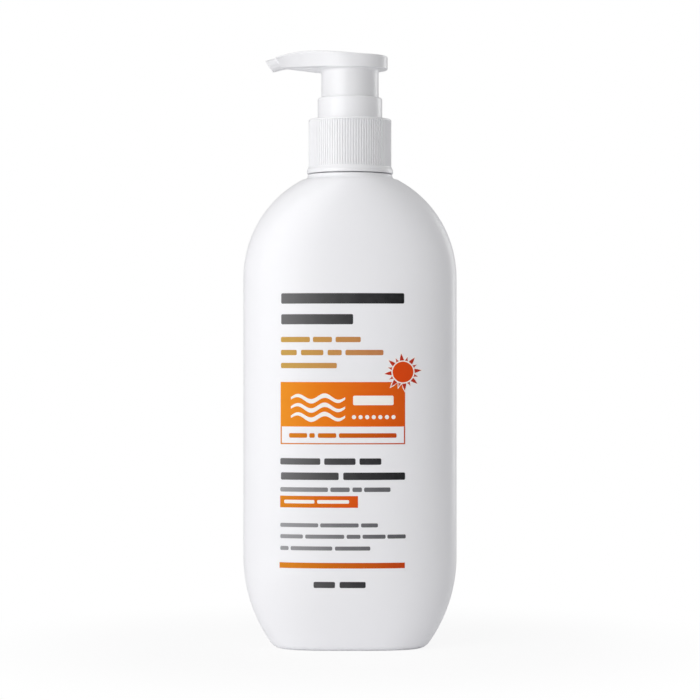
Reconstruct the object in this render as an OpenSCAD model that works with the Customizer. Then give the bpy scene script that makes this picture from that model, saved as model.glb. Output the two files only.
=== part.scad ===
// Lotion pump bottle: an oval blow-moulded bottle and the screw-on dispenser that closes it.
// Millimetres. The origin is the centre of the base, +Z is up, the wide front faces -Y,
// and the spout points along -X.

/* [Bottle] */
// Width across the straight sides
bottle_w = 71; // [66:0.5:80]
// Depth from front to back
bottle_d = 35; // [34:0.5:44]
// Height over which the sides draw in to the base
foot_h = 30; // [22:0.5:40]
// Width of the base
foot_w = 50.3; // [44:0.1:60]
// Depth of the base
foot_d = 29.6; // [26:0.1:33]
// Height of the straight sides
side_h = 92.5; // [70:0.5:130]
// Height of the shoulder, up to the root of the neck
shoulder_h = 34.4; // [28:0.1:42]
// Thickness of the bottle's wall
bottle_wall = 1.1; // [0.8:0.05:1.6]
// Radius of the edge round the base
base_edge_r = 1.6; // [1:0.1:2.4]
// Height of the hollow under the base
punt_h = 1.6; // [1:0.1:3]

/* [Neck and closure] */
// Diameter of the neck, under its thread
neck_d = 21.5; // [20:0.1:23]
// Height of the neck above its root
neck_h = 14.9; // [12:0.1:18]
// Thickness of the neck's wall
neck_wall = 1.65; // [1.2:0.05:1.9]
// Height of the thread's crest over the neck
thread_h = 1.2; // [0.8:0.05:1.4]
// Wall of the closure behind its ribs
closure_wall = 1.3; // [1:0.05:1.8]
// Thickness of the closure's top
closure_top_t = 1; // [0.8:0.1:1.6]
// Number of grip ribs
rib_count = 96; // [48:4:108]
// Height of a grip rib
rib_h = 0.35; // [0.2:0.05:0.5]
// Height of the smooth band under the ribs
band_h = 2.3; // [2:0.1:5]
// How far the band's foot flares past the ribs
flare = 0.55; // [0.3:0.05:0.8]

/* [Collar] */
// Wall of the collar's tower
tower_wall = 0.95; // [0.8:0.05:1.1]
// Radius of the tower's top edge
tower_edge_r = 0.7; // [0.3:0.05:0.75]
// Thickness of the collar's foot
collar_foot_t = 0.8; // [0.6:0.05:1.4]
// Height of the stem's guide above the foot
guide_h = 3.7; // [2:0.1:4.2]

/* [Head] */
// Height of the head's skirt, up to the pad
skirt_h = 10; // [9:0.1:13]
// Wall of the head's skirt
skirt_wall = 1.05; // [0.8:0.05:1.3]
// Thickness of the thumb pad at its back
pad_t = 4.4; // [3.6:0.1:6]
// How far the pad's sides stand past the skirt
pad_lip = 1.05; // [0.9:0.05:2]
// How far the pad's back stands past the skirt
pad_tail = 3; // [2.6:0.05:6]
// Height of the crest over the pad's back
crest_rise = 1.3; // [1:0.1:3]
// Distance of the crest from the axis
crest_x = 14; // [12:0.5:16]
// Distance of the outlet from the axis
spout_reach = 26.95; // [25:0.05:36]
// Width of the spout at its end
spout_w = 7; // [6.4:0.1:8.4]
// Outside diameter of the nozzle
nozzle_d = 4.4; // [3.8:0.1:4.6]
// Bore of the nozzle
nozzle_bore_d = 2.6; // [1.6:0.1:3]

/* [Pump] */
// Travel of the head
stroke = 6.5; // [5:0.1:8.5]
// Bore of the housing
barrel_bore_d = 12; // [11:0.1:13]
// Wall of the housing
barrel_wall = 1; // [0.8:0.05:1.2]
// Outside diameter of the stem
stem_d = 6.8; // [6.4:0.1:7.2]
// Bore of the stem
stem_bore_d = 3.4; // [2.6:0.1:3.8]
// Slip of the piston on the stem
slip = 0.8; // [0.4:0.1:1.4]
// Height of the piston between its lips
piston_h = 6.7; // [5.6:0.1:9]
// Diameter of the inlet ball
ball_d = 4; // [3.4:0.1:4.4]
// Lift of the inlet ball
ball_lift = 1.5; // [0.8:0.1:2]
// Outside diameter of the dip tube
tube_d = 5; // [4.4:0.1:5.6]
// Bore of the dip tube
tube_bore_d = 3.4; // [2.6:0.1:3.8]

/* [Spring] */
// Diameter of the spring's wire
wire_d = 0.7; // [0.5:0.05:0.8]
// Number of turns
turns = 9; // [6:1:10]
// Length of the spring at rest
spring_h = 20; // [18:0.5:26]

/* [Clearances] */
// Radial gap of a running fit
run_gap = 0.05; // [0.02:0.01:0.1]
// Gap between pieces that pass each other freely
free_gap = 0.3; // [0.2:0.05:0.4]
// Gap at a stop or a valve seat
stop_gap = 0.1; // [0.05:0.05:0.2]

/* [Hidden] */
$fn = 64;
// Overrun of every cut
over = 0.5;

// Bottle: steps of its skin, and the power of its oval sections
bottle_sides = 48;
foot_steps = 7;
shoulder_steps = 13;
inner_steps = 9;
blend_steps = 4;
edge_steps = 4;
body_power = 2.3;
foot_power = 3;
round_power = 2;
punt_shares = [0.3, 0.55, 0.78, 0.92];
// Width of the ring that the bottle stands on
stand_w = 2.6;
// Root of the neck, and the fillet between it and the shoulder
boss_h = 0.5;
blend_h = 1.2;
blend_w = 1.75;
// How far up the shoulder its depth starts to draw in
shoulder_d_share = 0.16;
neck_sink = 0.1;
foot_top_z = foot_h;
side_top_z = foot_top_z + side_h;
boss_top_z = side_top_z + shoulder_h;
neck_top_z = boss_top_z + neck_h;
neck_r = neck_d / 2;
neck_bore_r = neck_r - neck_wall;

// Closure: from the thread outwards
thread_gap = 0.2;
flare_h = 1.3;
flare_run = 0.6;
flare_edge = 0.25;
mouth_edge = 0.3;
top_edge = 0.5;
rim_h = 0.15;
rim_step = 0.05;
band_step = 0.1;
rib_sink = 0.15;
rib_root_share = 0.64;
rib_tip_share = 0.36;
closure_r_in = neck_r + thread_h + thread_gap;
closure_r = closure_r_in + closure_wall;
rib_r = closure_r + rib_h;
flare_r = rib_r + flare;
boss_r = flare_r - thread_gap;

// Stack on the neck: gasket, housing flange, collar foot, closure top
gasket_t = 0.8;
flange_t = 0.9;
flange_z = neck_top_z + gasket_t;
collar_z = flange_z + flange_t;
collar_floor_z = collar_z + collar_foot_t;
closure_z = boss_top_z + free_gap;
closure_top_z = collar_floor_z + closure_top_t;

// Collar: its foot lies under the closure's top, and its tower stands up through the hole
foot_side_gap = 0.45;
foot_grip = 0.65;
collar_foot_r = closure_r_in - foot_side_gap;
closure_hole_r = collar_foot_r - foot_grip;
tower_r = closure_hole_r - free_gap;
tower_r_in = tower_r - tower_wall;
guide_wall = 1.25;
plug_wall = 1.15;
plug_h = 4.6;
plug_step = 0.6;
plug_lead = 0.4;
stem_r = stem_d / 2;
stem_bore_r = stem_bore_d / 2;
guide_r_in = stem_r + run_gap;
guide_r = guide_r_in + guide_wall;
plug_z = collar_z - plug_h;

// Housing: barrel, mouth round the collar's plug, and flange on the gasket
mouth_wall = 1.1;
barrel_r_in = barrel_bore_d / 2;
barrel_r = barrel_r_in + barrel_wall;
mouth_r_in = barrel_r_in + plug_step;
mouth_r = mouth_r_in + mouth_wall;
plug_r = mouth_r_in - run_gap;
flange_r = collar_foot_r - free_gap;
gasket_r = collar_foot_r - stop_gap;
gasket_r_in = mouth_r + free_gap;

// Head: the skirt hangs in the tower and carries the pad
skirt_lap = 0.6;
skirt_gap = 0.25;
skirt_sink = 1.5;
skirt_fillet = 0.9;
pad_power = 2.2;
pad_edge_r = 0.4;
pad_foot_r = 0.25;
edge_turns = [0, 25, 50, 70, 90];
foot_turns = [90, 45, 0];
back_steps = 13;
back_end_turn = 87;
spout_steps = 20;
taper_tail = 1.95;
crest_run = 21;
crest_fall = 2.6;
spout_lift = 0.65;
lift_run = 16;
spout_draft = 1;
roof_t = 1.2;
socket_wall = 1.3;
// Pressed, the socket stops on the stem's guide, and the skirt ends just above the closure's top
skirt_z = closure_top_z + stroke + stop_gap;
tower_top_z = skirt_z + skirt_lap;
skirt_r = tower_r_in - skirt_gap;
skirt_r_in = skirt_r - skirt_wall;
pad_z = skirt_z + skirt_h;
pad_top_z = pad_z + pad_t;
crest_z = pad_top_z + crest_rise;
roof_z = pad_top_z - roof_t;
pad_half_w = skirt_r + pad_lip;
pad_back_x = skirt_r + pad_tail;
spout_half_w = spout_w / 2;
taper_end = spout_reach - taper_tail;
socket_r_in = stem_r + run_gap;
socket_r = socket_r_in + socket_wall;
socket_z = collar_floor_z + guide_h + stroke + stop_gap;

// Nozzle: it rises a little from the stem to its knee, and dips from there to the outlet
nozzle_lead = 6.95;
nozzle_cover = 0.1;
nozzle_dip = 14;
nozzle_out = 3.5;
knee_lap = 0.6;
face_tilt = 34;
nozzle_r = nozzle_d / 2;
nozzle_bore_r = nozzle_bore_d / 2;
knee_x = nozzle_lead - spout_reach;
root = [0, pad_top_z - nozzle_r];
knee = [knee_x, pad_top(knee_x) - nozzle_r - nozzle_cover];
outlet = knee - nozzle_lead * [1, tan(nozzle_dip)];
dip = [-cos(nozzle_dip), -sin(nozzle_dip)];
stem_top_z = root.y - nozzle_r;

// Stem, piston and piston rod, from the collar's plug down
stem_stop_t = 0.8;
stem_stop_w = 1.2;
stem_lead = 1.8;
hub_wall = 0.9;
hub_step = 0.7;
skin_step = 0.35;
skin_wall = 0.65;
lip_t = 0.45;
lip_h = 1.3;
web_t = 1;
seat_slope = 0.5;
seat_rim = 0.3;
seat_drop = 1.7;
rod_flange_t = 1.1;
rod_sleeve = 1.05;
rod_wall = 0.85;
rod_socket_h = 6;
port_r = 0.6;
spigot_h = 5;
spigot_lead = 1;
vent_r = 0.45;
stem_stop_r = stem_r + stem_stop_w;
stem_stop_z = plug_z - stop_gap - stem_stop_t;
piston_top_z = stem_stop_z - stop_gap - slip;
piston_z = piston_top_z - piston_h;
piston_r = barrel_r_in - run_gap;
piston_bore_r = stem_r + run_gap;
hub_r = piston_bore_r + hub_wall;
seat_r = hub_r + seat_rim;
rod_z = piston_z - seat_drop;
seat_z = rod_z + rod_flange_t;
rod_r = stem_r - rod_sleeve;
rod_bore_r = rod_r - rod_wall;
stem_z = piston_z + stem_lead;

// Spring: its end turns lie close together
spigot_r = 2.95;
spigot_gap = 0.3;
turn_rings = 8;
wire_sides = 6;
end_gap = 0.45;
seat_touch = 0.02;
spring_r = spigot_r + spigot_gap + wire_d / 2;
spring_seat_z = rod_z - spring_h;
end_pitch = wire_d + end_gap;

// Housing below the spring: ball cage, ball seat and socket of the dip tube
cage_gap = 0.8;
cage_wall = 1.2;
finger_w = 0.8;
finger_h = 1.6;
finger_bite = 0.5;
finger_count = 3;
inlet_share = 0.7;
inlet_h = 1.6;
barrel_flare = 1.5;
tube_socket_h = 9;
tube_socket_wall = 1.2;
tube_foot_gap = 2.4;
tube_slant = 45;
ball_r = ball_d / 2;
cage_r = ball_r + cage_gap;
finger_r = ball_r - finger_bite;
inlet_r = ball_r * inlet_share;
ball_z = spring_seat_z - finger_h - stop_gap - ball_lift - ball_r;
// The seat is a cone of 45 degrees that clears the ball by the running gap
cone_z = ball_z - (ball_r + run_gap) * sqrt(2) + inlet_r;
inlet_z = cone_z - inlet_h;
tube_socket_z = inlet_z - tube_socket_h;
tube_r = tube_d / 2;
tube_socket_r = tube_r + run_gap;
tube_top_z = inlet_z - stop_gap;
tube_foot_z = punt_h + bottle_wall + tube_foot_gap;

// Points on an arc about c, from one angle to another
function arc(c, r, from, to, steps) =
    [for (i = [0 : steps]) c + r * [cos(from + (to - from) * i / steps), sin(from + (to - from) * i / steps)]];

// A ring of points on an oval of half widths w and d: power 2 is an ellipse, more is squarer
function oval(w, d, power, z) =
    [for (i = [0 : bottle_sides - 1])
        let (c = cos(360 * i / bottle_sides), s = sin(360 * i / bottle_sides))
        [w * sign(c) * pow(abs(c), 2 / power), d * sign(s) * pow(abs(s), 2 / power), z]];

// A closed skin over a row of rings that all have the same number of points
module loft(rings) {
    n = len(rings[0]);
    last = len(rings) - 1;
    points = [for (ring = rings, p = ring) p];
    sides = [for (j = [0 : last - 1], i = [0 : n - 1], half = [0, 1])
        let (a = j * n + i, b = j * n + (i + 1) % n)
        half == 0 ? [a, a + n, b] : [b, a + n, b + n]];
    start = [for (i = [0 : n - 1]) i];
    end = [for (i = [n - 1 : -1 : 0]) last * n + i];
    polyhedron(points, concat(sides, [start, end]), convexity = 6);
}

// A solid of revolution from an outline of [radius, height] points
module turned(outline) {
    rotate_extrude() polygon(outline);
}

// A round bar between two heights
module bar(r, z0, z1) {
    translate([0, 0, z0]) cylinder(r = r, h = z1 - z0);
}

// A round bar between two points [x, z] of the plane Y = 0
module limb(p, q, r) {
    run = q - p;
    translate([p.x, 0, p.y]) rotate([0, atan2(run.x, run.y), 0]) cylinder(r = r, h = norm(run));
}

// Half width and half depth of the foot at height z: both follow the arc of the sides
foot_inset = (bottle_w - foot_w) / 2;
foot_arc_r = (foot_h * foot_h + foot_inset * foot_inset) / (2 * foot_inset);
function foot_share(z) =
    (foot_arc_r - sqrt(pow(foot_arc_r, 2) - pow(foot_top_z - z, 2))) / foot_inset;
function foot_half_w(z) = bottle_w / 2 - foot_inset * foot_share(z);
function foot_half_d(z) = bottle_d / 2 - (bottle_d - foot_d) / 2 * foot_share(z);
function foot_form(z) = body_power + (foot_power - body_power) * (foot_top_z - z) / foot_h;

// Shoulder: an ellipse that ends at the fillet round the neck's root
shoulder_end_r = boss_r + blend_w;
shoulder_end_z = boss_top_z - boss_h - blend_h;
shoulder_turn = acos(shoulder_end_r / (bottle_w / 2));
shoulder_rise = (shoulder_end_z - side_top_z) / sin(shoulder_turn);
shoulder_d_z = side_top_z + shoulder_h * shoulder_d_share;
shoulder_end_d = boss_r + blend_w / 2;
function draw_in(z, z0, z1) = z <= z0 ? 1 : sqrt(max(0, 1 - pow((z - z0) / (z1 - z0), 2)));
function shoulder_half_d(z) =
    shoulder_end_d + (bottle_d / 2 - shoulder_end_d) * draw_in(z, shoulder_d_z, shoulder_end_z);
function shoulder_form(z) =
    body_power + (round_power - body_power) * pow((z - side_top_z) / (shoulder_end_z - side_top_z), 2);

// Inside of the shoulder, down to the sides
throat_r = neck_bore_r + free_gap;
inner_turn = acos(throat_r / (bottle_w / 2 - bottle_wall));
inner_rise = shoulder_rise - bottle_wall;
inner_top_z = side_top_z + inner_rise * sin(inner_turn);
function inner_half_d(z) =
    throat_r + (bottle_d / 2 - bottle_wall - throat_r) * draw_in(z, shoulder_d_z, inner_top_z);

function bottle_outside() = concat(
    [for (s = punt_shares)
        oval(s * (foot_half_w(0) - base_edge_r - stand_w), s * (foot_half_d(0) - base_edge_r - stand_w),
             foot_power, punt_h * (1 - s * s))],
    [oval(foot_half_w(0) - base_edge_r - stand_w, foot_half_d(0) - base_edge_r - stand_w, foot_power, 0)],
    [for (i = [0 : edge_steps])
        let (turn = 90 * i / edge_steps, inset = base_edge_r * (1 - sin(turn)), z = base_edge_r * (1 - cos(turn)))
        oval(foot_half_w(z) - inset, foot_half_d(z) - inset, foot_form(z), z)],
    [for (i = [1 : foot_steps])
        let (z = base_edge_r + (foot_top_z - base_edge_r) * i / foot_steps)
        oval(foot_half_w(z), foot_half_d(z), foot_form(z), z)],
    [for (i = [0 : shoulder_steps])
        let (turn = shoulder_turn * i / shoulder_steps, z = side_top_z + shoulder_rise * sin(turn))
        oval(bottle_w / 2 * cos(turn), shoulder_half_d(z), shoulder_form(z), z)],
    [for (i = [1 : blend_steps])
        let (turn = 90 * i / blend_steps, left = 1 - sin(turn), z = shoulder_end_z + blend_h * (1 - cos(turn)))
        oval(boss_r + blend_w * left, boss_r + blend_w / 2 * left, round_power, z)],
    [oval(boss_r, boss_r, round_power, boss_top_z)]);

function bottle_inside() =
    let (low_z = base_edge_r + bottle_wall, low_w = foot_half_w(0) - base_edge_r - bottle_wall,
         low_d = foot_half_d(0) - base_edge_r - bottle_wall)
    concat(
    [oval(neck_bore_r - free_gap, neck_bore_r - free_gap, round_power, boss_top_z)],
    [for (i = [inner_steps : -1 : 0])
        let (turn = inner_turn * i / inner_steps, z = side_top_z + inner_rise * sin(turn))
        oval((bottle_w / 2 - bottle_wall) * cos(turn), inner_half_d(z),
             i == inner_steps ? round_power : shoulder_form(min(z, shoulder_end_z)), z)],
    [for (i = [foot_steps : -1 : 0])
        let (z = low_z + (foot_top_z - low_z) * i / foot_steps)
        oval(foot_half_w(z) - bottle_wall, foot_half_d(z) - bottle_wall, foot_form(z), z)],
    [oval(low_w, low_d, foot_power, bottle_wall)],
    [for (i = [len(punt_shares) - 1 : -1 : 0])
        let (s = punt_shares[i])
        oval(s * low_w, s * low_d, foot_power, bottle_wall + punt_h * (1 - s * s))]);

module bottle() {
    color([0.96, 0.96, 0.97])
    difference() {
        union() {
            loft(concat(bottle_outside(), bottle_inside()));
            bar(neck_r, boss_top_z - neck_sink, neck_top_z);
        }
        bar(neck_bore_r, boss_top_z - blend_h - boss_h, neck_top_z + over);
    }
}

// The grip ribs, as one ribbed outline
module ribs() {
    pitch = 360 / rib_count;
    corners = [[-rib_root_share / 2, closure_r - rib_sink], [-rib_tip_share / 2, rib_r],
               [rib_tip_share / 2, rib_r], [rib_root_share / 2, closure_r - rib_sink]];
    polygon([for (i = [0 : rib_count - 1], c = corners)
        let (a = (i + c.x) * pitch)
        c.y * [cos(a), sin(a)]]);
}

module closure() {
    band_z = closure_z + band_h;
    rim_z = closure_top_z - top_edge - rim_h;
    rim_r = rib_r + rim_step;
    band_r = rib_r + band_step;
    color([0.95, 0.95, 0.96])
    union() {
        turned([
            [closure_r_in + mouth_edge, closure_z],
            [flare_r - flare_edge, closure_z],
            [flare_r, closure_z + flare_edge],
            [flare_r, closure_z + flare_h],
            [band_r, closure_z + flare_h + flare_run],
            [band_r, band_z],
            [closure_r, band_z],
            [closure_r, rim_z],
            [rim_r, rim_z],
            [rim_r, rim_z + rim_h],
            [rim_r - top_edge, closure_top_z],
            [closure_hole_r, closure_top_z],
            [closure_hole_r, collar_floor_z],
            [closure_r_in, collar_floor_z],
            [closure_r_in, closure_z + mouth_edge]]);
        translate([0, 0, band_z - rim_step])
            linear_extrude(height = rim_z - band_z + 2 * rim_step)
                difference() {
                    ribs();
                    circle(r = closure_r - 2 * rib_sink);
                }
    }
}

module collar() {
    color([0.94, 0.94, 0.95])
    turned(concat(
        [[guide_r_in, plug_z],
         [guide_r, plug_z],
         [guide_r, collar_z],
         [plug_r - plug_wall, collar_z],
         [plug_r - plug_wall, plug_z],
         [plug_r - plug_lead, plug_z],
         [plug_r, plug_z + plug_lead],
         [plug_r, collar_z],
         [collar_foot_r, collar_z],
         [collar_foot_r, collar_floor_z],
         [tower_r, collar_floor_z]],
        arc([tower_r - tower_edge_r, tower_top_z - tower_edge_r], tower_edge_r, 0, 90, edge_steps),
        [[tower_r_in, tower_top_z],
         [tower_r_in, collar_floor_z],
         [guide_r, collar_floor_z],
         [guide_r, collar_floor_z + guide_h],
         [guide_r_in, collar_floor_z + guide_h]]));
}

module gasket() {
    color([0.86, 0.88, 0.9])
    turned([
        [gasket_r_in, neck_top_z],
        [gasket_r, neck_top_z],
        [gasket_r, flange_z],
        [gasket_r_in, flange_z]]);
}

module housing() {
    tube_socket_out_r = tube_socket_r + tube_socket_wall;
    cage_out_r = cage_r + cage_wall;
    cone_h = cage_r - inlet_r;
    color([0.9, 0.92, 0.94])
    difference() {
        union() {
            turned([
                [tube_socket_r, tube_socket_z],
                [tube_socket_out_r, tube_socket_z],
                [tube_socket_out_r, inlet_z],
                [cage_out_r, inlet_z + inlet_h],
                [cage_out_r, spring_seat_z - barrel_flare - barrel_wall],
                [barrel_r, spring_seat_z],
                [barrel_r, plug_z - mouth_wall],
                [mouth_r, plug_z],
                [mouth_r, flange_z],
                [flange_r, flange_z],
                [flange_r, collar_z],
                [mouth_r_in, collar_z],
                [mouth_r_in, plug_z - stop_gap],
                [barrel_r_in, plug_z - stop_gap - plug_step],
                [barrel_r_in, spring_seat_z],
                [cage_r, spring_seat_z],
                [cage_r, cone_z + cone_h],
                [inlet_r, cone_z],
                [inlet_r, inlet_z],
                [tube_socket_r, inlet_z]]);
            // Fingers that keep the ball in its cage
            for (i = [0 : finger_count - 1])
                rotate(360 / finger_count * i)
                    translate([finger_r, -finger_w / 2, spring_seat_z - finger_h])
                        cube([cage_r + cage_wall / 2 - finger_r, finger_w, finger_h]);
        }
        // Vent that lets air into the bottle while the piston is down
        translate([0, 0, piston_z + piston_h / 2])
            rotate([90, 0, 0])
                cylinder(r = vent_r, h = barrel_r + over);
    }
}

module dip_tube() {
    side = 4 * tube_d;
    color([0.88, 0.9, 0.92])
    difference() {
        bar(tube_r, tube_foot_z, tube_top_z);
        bar(tube_bore_d / 2, tube_foot_z - over, tube_top_z + over);
        translate([-tube_r, 0, tube_foot_z])
            rotate([0, 180 - tube_slant, 0])
                translate([-side / 2, -side / 2, 0])
                    cube(side);
    }
}

module ball() {
    color([0.75, 0.76, 0.78])
    translate([0, 0, ball_z]) sphere(r = ball_r);
}

// Centre line of the spring: the first and last turn lie close, the others share what is left
spring_low_z = spring_seat_z + wire_d / 2 + seat_touch;
spring_high_z = rod_z - wire_d / 2 - seat_touch;
mid_pitch = (spring_high_z - spring_low_z - 2 * end_pitch) / (turns - 2);
function coil_z(t) = spring_low_z + min(t, 1) * end_pitch
    + max(0, min(t, turns - 1) - 1) * mid_pitch + max(0, t - turns + 1) * end_pitch;
function coil_point(t) = [spring_r * cos(360 * t), spring_r * sin(360 * t), coil_z(t)];
coil_points = [for (i = [0 : turns * turn_rings]) coil_point(i / turn_rings)];
spring_self_gap = min([for (i = [0 : len(coil_points) - 1], j = [i + turn_rings - 2 : 1 : len(coil_points) - 1])
    norm(coil_points[i] - coil_points[j])]) - wire_d;
echo(spring_self_gap = spring_self_gap);

module spring() {
    color([0.7, 0.72, 0.75])
    loft([for (i = [0 : turns * turn_rings])
        let (turn = 360 * i / turn_rings, out = [cos(turn), sin(turn), 0])
        [for (k = [0 : wire_sides - 1])
            let (a = 360 * k / wire_sides - 90)
            coil_points[i] + wire_d / 2 * (cos(a) * out - sin(a) * [0, 0, 1])]]);
}

// Height of the valve seat at radius r
function seat_height(r) = seat_z + (seat_r - r) * seat_slope;

module piston_rod() {
    top_z = stem_z + rod_socket_h - stop_gap;
    color([0.93, 0.94, 0.95])
    difference() {
        union() {
            bar(spigot_r, rod_z - spigot_h + spigot_lead, rod_z + rod_flange_t / 2);
            translate([0, 0, rod_z - spigot_h])
                cylinder(r1 = spigot_r - spigot_lead, r2 = spigot_r, h = spigot_lead);
            bar(seat_r, rod_z, seat_z);
            translate([0, 0, seat_z])
                cylinder(r1 = seat_r, r2 = rod_r, h = (seat_r - rod_r) * seat_slope);
            bar(rod_r, seat_z, top_z);
        }
        bar(rod_bore_r, seat_height(rod_r), top_z + over);
        // Ports from the barrel into the stem
        for (turn = [0, 90])
            translate([0, 0, stem_z - stop_gap - port_r])
                rotate([90, 0, turn])
                    cylinder(r = port_r, h = 2 * seat_r, center = true);
    }
}

module piston() {
    skin_r = piston_r - skin_step;
    skin_r_in = skin_r - skin_wall;
    lip_r_in = piston_r - lip_t;
    hub_z = seat_height(hub_r) + stop_gap;
    hub_top_z = piston_top_z - hub_step;
    web_z = piston_z + (piston_h - web_t) / 2;
    color([0.85, 0.87, 0.9])
    turned([
        [piston_bore_r, seat_height(piston_bore_r) + stop_gap],
        [hub_r, hub_z],
        [hub_r, web_z],
        [skin_r_in, web_z],
        [skin_r_in, piston_z + lip_h],
        [lip_r_in, piston_z],
        [piston_r, piston_z],
        [skin_r, piston_z + lip_h],
        [skin_r, piston_top_z - lip_h],
        [piston_r, piston_top_z],
        [lip_r_in, piston_top_z],
        [skin_r_in, piston_top_z - lip_h],
        [skin_r_in, web_z + web_t],
        [hub_r, web_z + web_t],
        [hub_r, hub_top_z],
        [piston_bore_r, hub_top_z]]);
}

module stem() {
    color([0.93, 0.94, 0.95])
    turned([
        [rod_r + run_gap, stem_z],
        [stem_r, stem_z],
        [stem_r, stem_stop_z],
        [stem_stop_r, stem_stop_z],
        [stem_stop_r, stem_stop_z + stem_stop_t],
        [stem_r, stem_stop_z + stem_stop_t],
        [stem_r, stem_top_z],
        [stem_bore_r, stem_top_z],
        [stem_bore_r, stem_z + rod_socket_h],
        [rod_r + run_gap, stem_z + rod_socket_h]]);
}

// Plan and profile of the pad and spout at distance x along the axis
function ease(t) = (1 - cos(180 * max(0, min(1, t)))) / 2;
function pad_side(x) =
    x > 0 ? pad_half_w * pow(1 - pow(x / pad_back_x, pad_power), 1 / pad_power)
          : pad_half_w - (pad_half_w - spout_half_w) * ease(-x / taper_end);
function pad_top(x) =
    x > -crest_x ? crest_z - crest_rise * ease((x + crest_x) / crest_run)
                 : crest_z - crest_fall * pow((x + crest_x) / (spout_reach - crest_x), 2);
function pad_low(x) = pad_z + spout_lift * ease(-x / lift_run);
// The spout's sides lean in towards its foot
function pad_draft(x) = spout_draft * ease(-x / lift_run);

// Distance from a point of the plan to its outline: along the ray from the axis at the back, sideways on the spout
function back_ratio(x, y) = pow(pow(x / pad_back_x, pad_power) + pow(y / pad_half_w, pad_power), 1 / pad_power);
function to_outline(x, y) =
    x > 0 ? norm([x, y]) * (1 / back_ratio(x, y) - 1) : pad_side(x) - y;
// How much an edge of radius r takes off at that point
function edge_drop(x, y, r) = r - sqrt(max(0, r * r - pow(max(0, r - to_outline(x, y)), 2)));

// Section of the pad at x, rounded above and below
function pad_section(x) =
    let (w = pad_side(x),
         right = concat(
             [for (turn = foot_turns)
                 let (y = w - min(pad_foot_r, w) * (1 - cos(turn)))
                 [y - pad_draft(x), pad_low(x) + edge_drop(x, y, pad_foot_r)]],
             [for (turn = edge_turns)
                 let (y = w - min(pad_edge_r, w) * (1 - cos(turn)))
                 [y, pad_top(x) - edge_drop(x, y, pad_edge_r)]]))
    concat([for (p = right) [x, p.x, p.y]],
           [for (i = [len(right) - 1 : -1 : 0]) [x, -right[i].x, right[i].y]]);

// Thumb pad and spout in one skin, from the spout's end to the back
module pad() {
    loft([for (x = concat(
        [for (i = [spout_steps : -1 : 1]) -spout_reach * i / spout_steps],
        [for (i = [0 : back_steps]) pad_back_x * pow(sin(back_end_turn * i / back_steps), 2 / pad_power)]))
        pad_section(x)]);
}

// All that lies beyond a slanted face through point p of the plane Y = 0
module beyond(p) {
    side = 2 * spout_reach;
    translate([p.x, 0, p.y])
        rotate([0, -90 - face_tilt, 0])
            translate([-side / 2, -side / 2, 0])
                cube(side);
}

// The skirt, with a hollow fillet where it meets the pad
module skirt() {
    bar(skirt_r, skirt_z, pad_z + skirt_sink);
    turned(concat(
        [[skirt_r - skirt_wall / 2, pad_z - skirt_fillet]],
        arc([skirt_r + skirt_fillet, pad_z - skirt_fillet], skirt_fillet, 180, 90, edge_steps),
        [[skirt_r + skirt_fillet, pad_z + skirt_fillet / 2],
         [skirt_r - skirt_wall / 2, pad_z + skirt_fillet / 2]]));
}

module head() {
    rise = (knee - root) / norm(knee - root);
    color([0.97, 0.97, 0.98])
    difference() {
        union() {
            difference() {
                union() {
                    difference() {
                        pad();
                        beyond(outlet - nozzle_out * dip);
                    }
                    skirt();
                }
                bar(skirt_r_in, skirt_z - over, roof_z);
            }
            // Tube across the hollow of the skirt, and the nozzle at the spout's end
            limb(root, root + (skirt_r - skirt_wall / 2) * rise, nozzle_r);
            limb(knee - knee_lap * dip, outlet + nozzle_r * dip, nozzle_r);
            bar(socket_r, socket_z, roof_z + roof_t / 2);
        }
        beyond(outlet);
        bar(socket_r_in, socket_z - over, stem_top_z + stop_gap);
        bar(stem_bore_r, socket_z, root.y);
        limb(root, knee + knee_lap * rise, nozzle_bore_r);
        limb(knee - knee_lap * dip, outlet + 2 * nozzle_r * dip, nozzle_bore_r);
    }
}

bottle();
closure();
collar();
gasket();
housing();
dip_tube();
ball();
spring();
piston_rod();
piston();
stem();
head();
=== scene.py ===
import math

import bmesh
import bpy
from mathutils import Matrix, Vector


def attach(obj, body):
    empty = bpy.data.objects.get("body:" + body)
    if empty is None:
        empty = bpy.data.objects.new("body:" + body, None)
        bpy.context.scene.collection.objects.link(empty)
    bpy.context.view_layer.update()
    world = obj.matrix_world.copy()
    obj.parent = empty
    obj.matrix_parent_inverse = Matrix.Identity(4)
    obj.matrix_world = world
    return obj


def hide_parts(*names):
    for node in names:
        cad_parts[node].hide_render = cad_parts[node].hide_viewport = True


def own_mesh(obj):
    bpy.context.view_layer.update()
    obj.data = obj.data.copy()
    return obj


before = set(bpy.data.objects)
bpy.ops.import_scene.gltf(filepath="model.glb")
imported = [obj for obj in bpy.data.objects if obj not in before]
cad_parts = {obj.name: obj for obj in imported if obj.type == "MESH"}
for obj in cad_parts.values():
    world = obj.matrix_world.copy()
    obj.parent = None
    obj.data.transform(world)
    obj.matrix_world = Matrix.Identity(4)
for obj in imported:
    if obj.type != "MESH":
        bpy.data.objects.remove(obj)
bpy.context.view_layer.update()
mm = 0.001
weld = 1e-5  # points nearer than this are one, in millimetres
print("stage: frame loaded")


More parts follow.
